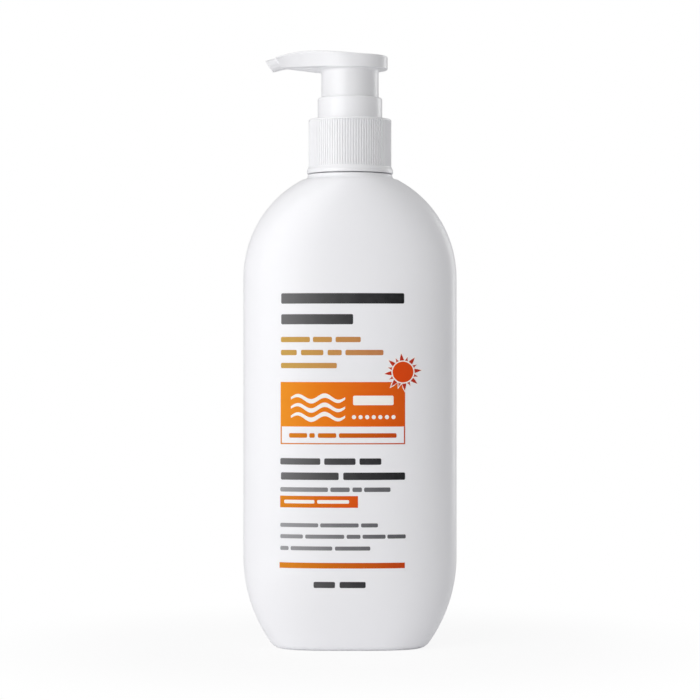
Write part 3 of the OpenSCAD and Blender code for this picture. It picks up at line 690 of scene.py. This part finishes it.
def padRing(x):
    h, right = head, []
    low, top = h["padLow"] + h["spoutLift"] * ease(-x / h["liftRun"]), padTop(x)
    w, draft = padSide(x), h["draft"] * ease((h["draftStart"] - x) / h["draftRun"])
    for k in range(h["footSteps"] + 1):
        y = w - min(h["foot"], w) * (1 - math.cos(math.pi / 2 * (1 - k / h["footSteps"])))
        right.append((y - draft * y / w, low + edgeDrop(x, y, h["foot"])))
    for k in range(h["edgeSteps"] + 1):
        y = w - min(h["edge"], w) * (1 - math.cos(math.pi / 2 * k / h["edgeSteps"]))
        right.append((y, top - edgeDrop(x, y, h["edge"])))
    return [(x, y, z) for y, z in right] + [(x, -y, z) for y, z in reversed(right)]


def padBody():
    h = head
    places = [-h["reach"] * (1 - i / h["spoutSteps"]) for i in range(h["spoutSteps"])]
    for i in range(h["backSteps"] + 1):  # closer together towards the rounded back
        turn = math.radians(h["backTurn"]) * i / h["backSteps"]
        places.append(h["backX"] * math.sin(turn) ** (2 / h["power"]))
    return skin([padRing(x) for x in places])


def rod(start, end, radius, sides=64):  # a round bar between two points
    start, end = Vector(start), Vector(end)
    turn = (end - start).to_track_quat("Z", "Y").to_matrix()
    rings = []
    for p in (start, end):
        rings.append([tuple(p + turn @ Vector(c)) for c in circle(radius, 0.0, sides)])
    return skin(rings)


def post(radius, low, high):  # a round bar on the pump's axis
    return rod((0, 0, low), (0, 0, high), radius, head["postSides"])


def filletBody():  # hollow fillet where the skirt meets the pad
    h, out = head, head["skirtOut"]
    low, top = h["padLow"] - h["fillet"], h["padLow"] + h["filletUp"]
    path = [Vector((out - h["filletIn"], low))]
    for k in range(h["filletSteps"] + 1):
        turn = math.pi * (1 - k / (2 * h["filletSteps"]))
        path.append(Vector((out + h["fillet"] * (1 + math.cos(turn)),
                            low + h["fillet"] * math.sin(turn))))
    path += [Vector((out + h["fillet"], top)), Vector((out - h["filletIn"], top))]
    return lathe(path, h["filletSides"])


def slab(point, tilt, size=60.0):  # everything beyond a slanted face
    turn = Matrix.Rotation(math.radians(-90 - tilt), 3, "Y")
    half, rings = size / 2, []
    for up in (0, size):
        corners = [(-half, -half, up), (half, -half, up), (half, half, up), (-half, half, up)]
        rings.append([tuple(Vector(point) + turn @ Vector(c)) for c in corners])
    return skin(rings)


def upright(body):  # normals out, whatever way the body was drawn
    box = bmesh.new()
    for p in body[0]:
        box.verts.new(p)
    box.verts.ensure_lookup_table()
    for face in body[1]:
        box.faces.new([box.verts[i] for i in face])
    bmesh.ops.remove_doubles(box, verts=box.verts[:], dist=weld)
    bmesh.ops.recalc_face_normals(box, faces=box.faces[:])
    mesh = bpy.data.meshes.new("body")
    box.to_mesh(mesh)
    box.free()
    return linked("body", mesh)


def joined(base, steps):  # unions and cuts, one after the other
    for operation, body in steps:
        tool = upright(body)
        modifier = base.modifiers.new("mix", "BOOLEAN")
        modifier.operation, modifier.object, modifier.solver = operation, tool, "EXACT"
        solved(base)
        bpy.data.objects.remove(tool)
    return base


def headBody():
    h = head
    dip, kneeX = math.radians(h["dip"]), h["lead"] - h["reach"]
    knee = Vector((kneeX, 0, padTop(kneeX) - h["nozzleOut"] - h["cover"]))
    way = Vector((-math.cos(dip), 0, -math.sin(dip)))
    outlet = knee + Vector((-h["lead"], 0, -h["lead"] * math.tan(dip)))
    root = Vector((0, 0, h["rootZ"]))
    rise = (knee - root).normalized()
    nozzleStart = knee - h["overlap"] * way
    piece = joined(upright(padBody()), [
        ("DIFFERENCE", slab(outlet - h["nozzleFree"] * way, h["faceTilt"])),
        ("UNION", post(h["skirtOut"], h["skirtLow"], h["padLow"] + h["skirtInto"])),
        ("UNION", filletBody()),
        ("DIFFERENCE", post(h["skirtIn"], h["skirtLow"] - h["past"], h["roof"])),
        ("UNION", rod(root, root + h["rootRun"] * rise, h["nozzleOut"])),
        ("UNION", rod(h["tubeStart"], h["tubeEnd"], h["tubeRadius"])),
        ("UNION", rod(nozzleStart, outlet + h["nozzleOut"] * way, h["nozzleOut"])),
        ("UNION", post(h["socketOut"], h["socketLow"], h["roof"] + h["overlap"])),
        ("DIFFERENCE", slab(outlet, h["faceTilt"])),
        ("DIFFERENCE", post(h["socketIn"], h["socketLow"] - h["past"], h["stemTop"])),
        ("DIFFERENCE", post(h["wellRadius"], h["socketLow"], h["rootZ"])),
        ("DIFFERENCE", rod(root, knee + h["overlap"] * rise, h["nozzleBore"])),
        ("DIFFERENCE", rod(nozzleStart, outlet + h["outletPast"] * way, h["nozzleBore"]))])
    remesh = piece.modifiers.new("remesh", "REMESH")
    remesh.mode, remesh.voxel_size, remesh.adaptivity = "VOXEL", h["voxel"], 0.0
    smooth = piece.modifiers.new("smooth", "SMOOTH")
    smooth.factor, smooth.iterations = 0.5, h["smoothing"]
    thin = piece.modifiers.new("thin", "DECIMATE")
    thin.ratio = h["thinning"]
    solved(piece)
    piece.data.materials.clear()
    piece.data.materials.append(finishes["head"])
    return toMetres(piece)


headShell = headBody()
headShell.name = headShell.data.name = "headShell"
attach(headShell, "plunger")
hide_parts("head")
print("stage: head made,", len(headShell.data.polygons), "faces")

spring = {
    "low": 139.07, "high": 158.33, "radius": 3.6, "wireRadius": 0.34, "turns": 9,
    "endPitch": 1.15, "steps": 28,
}


def springTree():
    graph, given = newTree("coil", [
        ("Turns", "Float", 9.0), ("Radius", "Float", 3.6), ("Wire radius", "Float", 0.35),
        ("Low", "Float", 0.0), ("High", "Float", 19.0), ("End pitch", "Float", 1.1),
        ("Steps", "Int", 28)])
    path = graph.add("GeometryNodeCurveSpiral", {}, {
        "Resolution": given["Steps"], "Rotations": given["Turns"], "Start Radius": given["Radius"],
        "End Radius": given["Radius"], "Height": 1.0, "Reverse": False})
    spot = graph.add("GeometryNodeInputPosition")
    turn = graph.axis(spot, "Z") * given["Turns"]
    middle = (given["High"] - given["Low"] - 2 * given["End pitch"]) / (given["Turns"] - 2)
    height = (given["Low"] + turn.least(1.0) * given["End pitch"]
              + (turn.least(given["Turns"] - 1) - 1).most(0.0) * middle
              + (turn - given["Turns"] + 1).most(0.0) * given["End pitch"])
    place = graph.add("ShaderNodeCombineXYZ", values={
        "X": graph.axis(spot, "X"), "Y": graph.axis(spot, "Y"), "Z": height})
    path = graph.add("GeometryNodeSetPosition", {}, {"Geometry": path, "Position": place})
    section = graph.add("GeometryNodeCurvePrimitiveCircle", {},
                        {"Resolution": 12, "Radius": given["Wire radius"]})
    wire = graph.add("GeometryNodeCurveToMesh", {},
                     {"Curve": path, "Profile Curve": section, "Fill Caps": True})
    return treeEnd(graph, wire, given["Finish"])


springCoil = toMetres(grow("springCoil", springTree(), {
    "Turns": float(spring["turns"]), "Radius": spring["radius"],
    "Wire radius": spring["wireRadius"], "Low": spring["low"], "High": spring["high"],
    "End pitch": spring["endPitch"], "Steps": spring["steps"],
    "Finish": finishes["wire"]}), sharpAngle=60)
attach(springCoil, "spring_carrier")
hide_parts("spring")
# held at its top, where its carrier's rod presses on it
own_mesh(springCoil)
print("stage: spring made")

film = {
    "lift": 0.035, "over": 0.06, "top": 0.085, "sunk": 0.05, "acrossStep": 1.3, "upStep": 3.0,
    "barEdge": 0.45, "edgeOfHeight": 0.3, "edgeOfWidth": 0.45,
}


def frontPoint(x, z, lift):  # a point of the bottle's front, lifted off it along its normal
    def depth(x, z):  # it stops just short of the bottle's edge
        w, d, p = bottleSection(z)
        return d * (1 - min(0.999, abs(x) / w) ** p) ** (1 / p)
    e = 0.05  # how far to each side the slope is taken
    slopeX = (depth(x + e, z) - depth(x - e, z)) / (2 * e)
    slopeZ = (depth(x, z + e) - depth(x, z - e)) / (2 * e)
    normal = Vector((-slopeX, -1.0, -slopeZ)).normalized()
    return Vector((x, -depth(x, z), z)) + normal * lift


def printed(name, finish, shapes, lift=film["lift"]):  # outlines of (x, z), as films on the bottle
    box = bmesh.new()
    for shape in shapes:
        box.faces.new([box.verts.new((x, 0.0, z)) for x, z in shape])
    for axis, step in ((0, film["acrossStep"]), (2, film["upStep"])):  # cut, so that they bend
        low, high = min(v.co[axis] for v in box.verts), max(v.co[axis] for v in box.verts)
        cuts = int((high - low) / step)
        way = Vector((1, 0, 0)) if axis == 0 else Vector((0, 0, 1))
        for k in range(1, cuts + 1):
            place = way * (low + (high - low) * k / (cuts + 1))
            bmesh.ops.bisect_plane(box, geom=box.verts[:] + box.edges[:] + box.faces[:],
                                   plane_co=place, plane_no=way, dist=weld)
    bmesh.ops.triangulate(box, faces=[f for f in box.faces if len(f.verts) > 4])
    under = box.verts[:]
    raised = bmesh.ops.extrude_face_region(box, geom=box.faces[:], use_keep_orig=True)["geom"]
    over = [v for v in raised if isinstance(v, bmesh.types.BMVert)]
    for verts, height in ((over, lift), (under, -film["sunk"])):
        for v in verts:
            v.co = frontPoint(v.co.x, v.co.z, height)
    bmesh.ops.recalc_face_normals(box, faces=box.faces[:])
    mesh = bpy.data.meshes.new(name)
    box.to_mesh(mesh)
    box.free()
    mesh.materials.append(finishes[finish])
    piece = toMetres(linked(name, mesh), sharpAngle=30)
    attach(piece, "bottle")


def plate(x0, x1, z0, z1, edge=0.0, steps=4):  # a rectangle with rounded corners
    if edge <= 0:
        return [(x0, z0), (x1, z0), (x1, z1), (x0, z1)]
    shape = []
    for cx, cz, start in ((x1 - edge, z0 + edge, -90), (x1 - edge, z1 - edge, 0),
                          (x0 + edge, z1 - edge, 90), (x0 + edge, z0 + edge, 180)):
        for k in range(steps + 1):
            turn = math.radians(start + 90 * k / steps)
            shape.append((cx + edge * math.cos(turn), cz + edge * math.sin(turn)))
    return shape


def bars(rows):  # rows of plain bars, each with its own height
    shapes = []
    for low, high, spans in rows:
        edge = min(film["barEdge"], (high - low) * film["edgeOfHeight"])
        for x0, x1 in spans:
            shapes.append(plate(x0, x1, low, high, min(edge, (x1 - x0) * film["edgeOfWidth"])))
    return shapes


def disc(cx, cz, radius, sides=48):
    return [(cx + x, cz + z) for x, z, _ in circle(radius, 0.0, sides)]


textRows = {  # plain bars for lines of text: the ink, then low, high and the bars of each row
    "titlePrint": ("dark", [
        (113.75, 117.15, [(-22.5, 17.7)]), (107.0, 110.3, [(-22.5, 1.0)])]),
    "goldPrint": ("gold", [
        (101.15, 102.9, [(-22.6, -13.1), (-12.1, -5.9), (-4.7, 3.5)]),
        (96.9, 98.65, [(-22.6, -17.4), (-16.0, -8.7), (-7.3, -2.7), (-1.5, 10.9)]),
        (92.65, 94.4, [(-22.6, -4.3)])]),
    "darkPrint": ("dark", [
        (61.15, 63.25, [(-22.8, -9.7), (-8.4, 1.8), (3.1, 10.2)]),
        (56.2, 58.6, [(-22.6, -3.7), (-2.2, 18.0)])]),
    "midPrint": ("fine", [
        (52.3, 53.75, [(-22.8, -7.2), (-6.4, -0.1), (0.8, 3.9), (4.6, 13.2)])]),
    "finePrint": ("fine", [
        (40.75, 42.05, [(-22.8, -10.4), (-9.7, 2.8), (3.6, 9.1)]),
        (37.05, 38.35, [(-22.8, -15.4), (-14.6, -1.9), (-1.1, 3.4), (4.1, 11.6), (12.2, 18.2)]),
        (33.2, 34.5, [(-22.8, -20.1), (-19.4, -5.8), (-4.9, 6.6)])]),
    "netPrint": ("dark", [(20.95, 22.95, [(-11.9, -4.9), (-3.4, 5.1)])]),
}
for name, (finish, rows) in textRows.items():
    printed(name, finish, bars(rows))

panel = {
    "field": (-22.7, 18.0, 73.6, 88.16), "strip": (-22.7, 18.0, 67.83, 73.6), "line": 0.38,
    "gap": 0.02, "stripBars": [(69.95, 71.45, [(-19.9, -14.0), (-13.3, -11.5), (-10.5, -4.5),
                                               (-3.6, 15.2)])],
    "whiteBar": [(80.6, 83.7, [(1.0, 14.2)])], "dotStart": 1.3, "dotStep": 2.15, "dotHeight": 76.7,
    "dotRadius": 0.68, "dots": 7, "small": (-22.85, 2.6, 47.14, 50.96),
    "smallBars": [(48.5, 49.65, [(-21.5, -11.6), (-10.7, -0.3)])],
    "rule": (-23.05, 17.9, 27.34, 29.16),
}
waveLook = {
    "left": -19.3, "right": -1.6, "low": 76.8, "gap": 3.0, "rows": 3, "thick": 1.5, "swing": 0.95,
    "waves": 2, "steps": 36, "thinEnd": 0.35, "inset": 0.08,
}


def waves():  # wavy lines, one above the other, thinner at their ends
    w, shapes = waveLook, []
    for row in range(w["rows"]):
        line = []
        for i in range(w["steps"] + 1):
            share = i / w["steps"]
            z = w["low"] + row * w["gap"] + w["swing"] * math.sin(2 * math.pi * w["waves"] * share)
            bulge = math.sin(math.pi * (w["inset"] + (1 - 2 * w["inset"]) * share))
            thick = w["thick"] * (w["thinEnd"] + (1 - w["thinEnd"]) * bulge)
            line.append((w["left"] + (w["right"] - w["left"]) * share, z, thick / 2))
        for (xa, za, ta), (xb, zb, tb) in zip(line, line[1:]):
            shapes.append([(xa, za - ta), (xb, zb - tb), (xb, zb + tb), (xa, za + ta)])
    return shapes


left, right, low, high = panel["strip"]
line, gap = panel["line"], panel["gap"]
dots = [disc(panel["dotStart"] + panel["dotStep"] * i, panel["dotHeight"], panel["dotRadius"],
             sides=20) for i in range(panel["dots"])]
printed("panelPrint", "panel", [plate(*panel["field"])])
printed("stripFrame", "rule", [
    plate(left, left + line, low, high - gap), plate(right - line, right, low, high - gap),
    plate(left + line + gap / 2, right - line - gap / 2, low, low + line)])
printed("stripPrint", "rule", bars(panel["stripBars"]))
printed("panelWaves", "white", waves(), film["over"])
printed("panelBars", "white", bars(panel["whiteBar"]), film["over"])
printed("panelDots", "white", dots, film["over"])
printed("smallPanel", "patch", [plate(*panel["small"])])
printed("smallBars", "white", bars(panel["smallBars"]), film["over"])
printed("rulePrint", "rule", [plate(*panel["rule"])])

sun = {
    "place": (17.3, 91.4), "disc": 3.4, "ring": 3.85, "rays": 16, "start": 0.25,
    "long": (6.1, 0.185), "short": (5.15, 0.15), "waist": 0.8, "swell": (0.66, 0.03, 0.09),
    "halo": 0.25,
}


# pointed rays by turns long and short, all round the disc; swell makes them longer, wider and
# start nearer to it
def rays(swell=(0.0, 0.0, 0.0)):
    (cx, cz), shapes = sun["place"], []
    for i in range(sun["rays"]):
        turn = 2 * math.pi * (i + sun["start"]) / sun["rays"]
        far, wide = sun["short"] if i % 2 else sun["long"]
        far, wide, near = far + swell[0], wide + swell[1], sun["ring"] - swell[2]
        waist = far * sun["waist"]
        corners = ((near, -wide), (waist, -wide / 2), (far, 0.0), (waist, wide / 2), (near, wide))
        shapes.append([(cx + r * math.cos(turn + a), cz + r * math.sin(turn + a))
                       for r, a in corners])
    return shapes


halo = rays(sun["swell"]) + [disc(*sun["place"], sun["ring"] + sun["halo"])]
printed("sunHalo", "white", halo, film["over"])
printed("sunRays", "ray", rays(), film["top"])
printed("sunDisc", "sun", [disc(*sun["place"], sun["disc"], sides=64)], film["top"])
print("stage: print laid on")

keptFinishes = {  # pieces that keep their own meshes
    "gasket": "soft", "housing": "natural", "dip_tube": "natural", "ball": "ball",
    "piston_rod": "natural", "piston": "soft", "stem": "cap",
}
for name, finish in keptFinishes.items():
    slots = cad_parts[name].data.materials
    slots.clear()
    slots.append(finishes[finish])
print("stage: inner pieces finished")

view = {
    "height": 98.6 * mm, "distance": 0.8, "lens": 123.43, "sensor": 36.0, "near": 0.01, "far": 20.0,
}
cameraData = bpy.data.cameras.new("camera")
cameraData.lens, cameraData.sensor_width = view["lens"], view["sensor"]
cameraData.clip_start, cameraData.clip_end = view["near"], view["far"]
camera = linked("camera", cameraData)
camera.location = (0.0, -view["distance"], view["height"])
camera.rotation_euler = (math.radians(90), 0.0, 0.0)
bpy.context.scene.camera = camera

lights = {  # in metres and watts
    "keyLight": {"place": (-0.71, -0.69, 0.36), "size": (0.95, 0.95), "power": 7.15},
    "rimLight": {"place": (0.575, 0.48, 0.24), "size": (0.3, 0.5), "power": 1.15},
    "topLight": {"place": (0.04, -0.06, 0.85), "size": (0.5, 0.5), "power": 0.7},
}
middle = Vector((0.0, 0.0, 0.1))
for name, light in lights.items():
    data = bpy.data.lights.new(name, "AREA")
    data.shape, data.energy = "RECTANGLE", light["power"]
    data.size, data.size_y = light["size"]
    lamp = linked(name, data)
    lamp.location = light["place"]
    lamp.rotation_euler = (middle - Vector(light["place"])).to_track_quat("-Z", "Y").to_euler()

roomLook = {"colour": (1.0, 1.0, 1.0, 1.0), "shine": 0.4, "fill": 0.38}
world = bpy.data.worlds.new("room")
bpy.context.scene.world = world
world.use_nodes = True
world.node_tree.nodes.clear()
room = Graph(world.node_tree)
seen = room.add("ShaderNodeLightPath", output="Is Camera Ray")
seen = seen.most(room.add("ShaderNodeLightPath", output="Is Transmission Ray"))
shine = room.add("ShaderNodeLightPath", output="Is Glossy Ray") * roomLook["shine"]
surround = room.add("ShaderNodeBackground", {}, {
    "Color": roomLook["colour"], "Strength": (seen + shine).least(1.0).most(roomLook["fill"])})
room.add("ShaderNodeOutputWorld", {}, {"Surface": surround})

floorLook = {
    "colour": shade(249, 249, 250), "shadeColour": shade(246, 246, 248), "grainScale": 900.0,
    "grainDetail": 3.0, "roughness": 0.75, "glare": 0.88, "fadeStart": 0.05, "fadeEnd": 0.15,
    "radius": 1200.0, "thick": 0.2, "sides": 64,
}
floorMaterial, ground = newMaterial("paleFloor")
spot = ground.spot()
grain = ground.noise(spot, floorLook, "grain")
away = ground.add("ShaderNodeVectorMath", {"operation": "LENGTH"}, {0: spot}, "Value")
surface = ground.add("ShaderNodeBsdfPrincipled", {}, {
    "Base Color": ground.blend(grain, floorLook["colour"], floorLook["shadeColour"]),
    "Roughness": floorLook["roughness"]})
glare = ground.add("ShaderNodeEmission", {}, {"Color": (1.0, 1.0, 1.0, 1.0), "Strength": 1.0})
fade = away.between(floorLook["fadeStart"], floorLook["fadeEnd"]) * (1 - floorLook["glare"])
seen = ground.add("ShaderNodeLightPath", output="Is Camera Ray") * (floorLook["glare"] + fade)
mixed = ground.add("ShaderNodeMixShader", {}, {0: seen, 1: surface, 2: glare})
ground.add("ShaderNodeOutputMaterial", {}, {"Surface": mixed})
floorRings = [circle(floorLook["radius"], z, floorLook["sides"]) for z in (-floorLook["thick"], 0.0)]
floor = newObject("floor", *skin(floorRings))
floor.data.materials.append(floorMaterial)
toMetres(floor, sharpAngle=30)

bpy.context.scene.view_settings.view_transform = "Standard"
print("stage: camera, lights and floor set")
